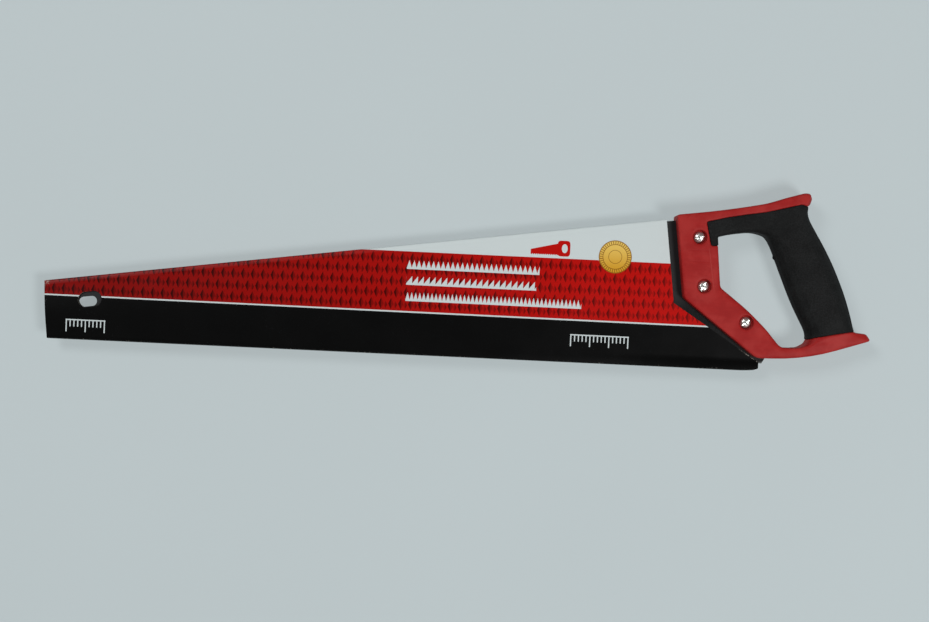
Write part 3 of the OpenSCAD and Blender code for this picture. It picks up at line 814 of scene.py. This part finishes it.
def varnishRoughness(tree, vector, x, y, worn):
    # dull along the upper fold, and smooth where the lower fold swells near the heel, which keeps it dark
    p = printLayout
    c = calculator(tree)
    backAtToe = card["backStart"][1] - card["backStart"][0] * backSlope
    fromBack = c("SUBTRACT", y, c("MULTIPLY_ADD", x, backSlope, backAtToe))
    dull = ease(tree, fromBack, *p["foldDull"])
    sleek = every(tree, ease(tree, y, *p["sleekBelow"]), ease(tree, x, *p["sleekFrom"]))
    rough = c("MULTIPLY_ADD", noise(tree, vector, 0.03, 3, 0.5), 0.12, p["rough"] - 0.06)
    rough = c("ADD", rough, c("MULTIPLY", dull, p["dullBy"]))
    rough = c("SUBTRACT", rough, c("MULTIPLY", sleek, p["sleekBy"]))
    return c("ADD", rough, c("MULTIPLY", worn, p["wornRough"]))


def cardMaterial():
    p = printLayout
    material, tree, shader = newMaterial("varnished print")
    c = calculator(tree)
    vector, x, y = toeSpace(tree)[:3]
    ink = printZones(tree, x, y)
    ink = paint(tree, either(tree, *toothStrips(tree, x, y), *rulerMarks(tree, x, y)), ink, p["white"])
    ink = paint(tree, sawSign(tree, x, y), ink, p["red"])
    onDisc, gold = goldDisc(tree, x, y)
    ink = paint(tree, onDisc, ink, gold)
    worn = wornSpots(tree, vector, x, y)
    ink = paint(tree, c("MULTIPLY", worn, p["wornDepth"]), ink, p["card"])
    put(tree, shader.inputs["Base Color"], ink)
    put(tree, shader.inputs["Roughness"], varnishRoughness(tree, vector, x, y, worn))
    fibre = noise(tree, vector, 0.8, 3, 0.6)
    bump(tree, shader, c("SUBTRACT", fibre, c("MULTIPLY", worn, 0.6)), 0.03, 0.5)
    shader.inputs["Specular IOR Level"].default_value = 0.16
    return material


def rawMaterial():
    material, tree, shader = newMaterial("raw card edge")
    vector = toeSpace(tree)[0]
    fibre = noise(tree, stretched(tree, vector, (0.6, 0.6, 4.0)), 1.4, 4, 0.7)
    put(tree, shader.inputs["Base Color"], paint(tree, fibre, linear(134, 126, 112), linear(206, 200, 188)))
    shader.inputs["Roughness"].default_value = 0.85
    bump(tree, shader, fibre, 0.08, 0.6)
    return material


cardSleeve = makeSleeve(cardMaterial(), rawMaterial())
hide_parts("blade_sleeve")
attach(cardSleeve, "sleeve")
print("card sleeve:", len(cardSleeve.data.polygons), "faces")


# screws and sleeve nuts; a profile is (radius, height), and a cut of the recess is its size, how much
# narrower its bottom is, and its angle
fastener = {
    "names": ("Top", "Middle", "Bottom"), "turns": (20, 63, 38), "steps": 48,
    "thread": 2.0, "threadEnd": -4.6, "threadChamfer": 0.4, "threadStart": 0.7,
    "threadTurns": 12, "threadPitch": 0.75, "threadDepth": 0.25, "threadFlank": 0.35,
    "head": ((4.1, 0.0), (4.3, 0.2), (4.3, 0.7), (4.1, 1.0), (3.6, 1.3), (3.0, 1.6), (2.3, 1.9),
             (1.5, 2.12), (0, 2.25)),
    "cuts": {
        "slotGroove": ((9.6, 3.6, 1.2), (1, 0.06), 0),
        "crossGroove": ((6.8, 3.2, 1.1), (0.7, 0.06), 90),
        "socket": ((2.0, 2.0, 1.9), (0.6, 0.6), 45),
    },
    "barrel": 2.8, "barrelEnd": 4.2, "bore": 2.1, "floor": 0.8, "flange": 4.7, "flangeHeight": 1.9,
    "slotWidth": 1.4, "slotHeight": 1.5,
    "colour": linear(238, 240, 236), "rough": 0.27, "sharp": 32,
}


def zincMaterial():
    material, tree, shader = newMaterial("zinc plate")
    vector = toeSpace(tree)[0]
    fine = noise(tree, vector, 3.0, 3, 0.6)
    patch = noise(tree, vector, 0.45, 3, 0.6)
    dark, bright = tinted(fastener["colour"], 0.88), tinted(fastener["colour"], 1.08)
    put(tree, shader.inputs["Base Color"], paint(tree, patch, dark, bright))
    put(tree, shader.inputs["Roughness"], calc(tree, "MULTIPLY_ADD", fine, 0.18, fastener["rough"] - 0.09))
    shader.inputs["Metallic"].default_value = 0.86
    bump(tree, shader, fine, 0.03, 0.5)
    return material


def turned(name, profile, material):
    bm = bmesh.new()
    spin(bm, [(r * mm, h * mm) for r, h in profile], fastener["steps"], 1e-6)
    return link(name, toMesh(bm, name), material)


def wedgeTool(name, size, taper, height, angle, material):
    # a block whose lower side is narrowed, so that it cuts a groove with sloping walls
    turn = Matrix.Rotation(math.radians(angle), 3, "Z")
    bm = bmesh.new()
    bmesh.ops.create_cube(bm, size=1)
    bmesh.ops.scale(bm, verts=bm.verts, vec=[s * mm for s in size])
    bmesh.ops.scale(bm, verts=[v for v in bm.verts if v.co.z < 0], vec=(*taper, 1))
    bmesh.ops.translate(bm, verts=bm.verts, vec=(0, 0, height * mm))
    bmesh.ops.rotate(bm, verts=bm.verts, cent=(0, 0, 0), matrix=turn)
    return link(name, toMesh(bm, name), material)


def settle(piece, index):
    turn = Matrix.Rotation(math.radians(fastener["turns"][index]), 4, "Z")
    piece.data.transform(Matrix.Translation(place(*screwSpots[index])) @ turn)
    finishMesh(piece.data, fastener["sharp"])
    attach(piece, "saw")


def makeScrew(index, zinc):
    f = fastener
    r, end, chamfer = f["thread"], f["threadEnd"], f["threadChamfer"]
    profile = [(0, end), (r - chamfer, end), (r, end + chamfer)]
    for k in range(f["threadTurns"]):
        h = end + f["threadStart"] + k * f["threadPitch"]
        profile += [(r, h), (r - f["threadDepth"], h + f["threadFlank"])]
    profile += [(r, screwSeat)] + [(out, screwSeat + h) for out, h in f["head"]]
    screw = turned("screw" + f["names"][index], profile, zinc)
    top = screwSeat + f["head"][-1][1]
    for cut, ((length, width, depth), taper, angle) in f["cuts"].items():
        boolean(screw, wedgeTool(cut, (length, width, 2 * depth), taper, top, angle, zinc), "DIFFERENCE")
    settle(screw, index)
    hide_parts("screw_" + f["names"][index].lower())


def makeNut(index, zinc):
    # a closed profile, from the bottom of the bore round the barrel and the flange
    f = fastener
    bore, barrel, flange = f["bore"], f["barrel"], f["flange"]
    low = -screwSeat - f["flangeHeight"]
    profile = [
        (bore, low + f["floor"]), (bore, f["barrelEnd"]), (barrel, f["barrelEnd"]), (barrel, -screwSeat),
        (flange - 0.1, -screwSeat), (flange, -screwSeat - 0.15), (flange, low + 0.7),
        (flange - 0.3, low + 0.25), (flange - 1.0, low), (0, low), (0, low + f["floor"]),
        (bore, low + f["floor"]),
    ]
    nut = turned("nut" + f["names"][index], profile, zinc)
    size = (flange * 2.4, f["slotWidth"], f["slotHeight"])
    boolean(nut, wedgeTool("slotTool", size, (1, 0.9), low, 0, zinc), "DIFFERENCE")
    settle(nut, index)
    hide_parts("nut_" + f["names"][index].lower())


zinc = zincMaterial()
for i in range(3):
    makeScrew(i, zinc)
    makeNut(i, zinc)
print("screws and nuts ready")
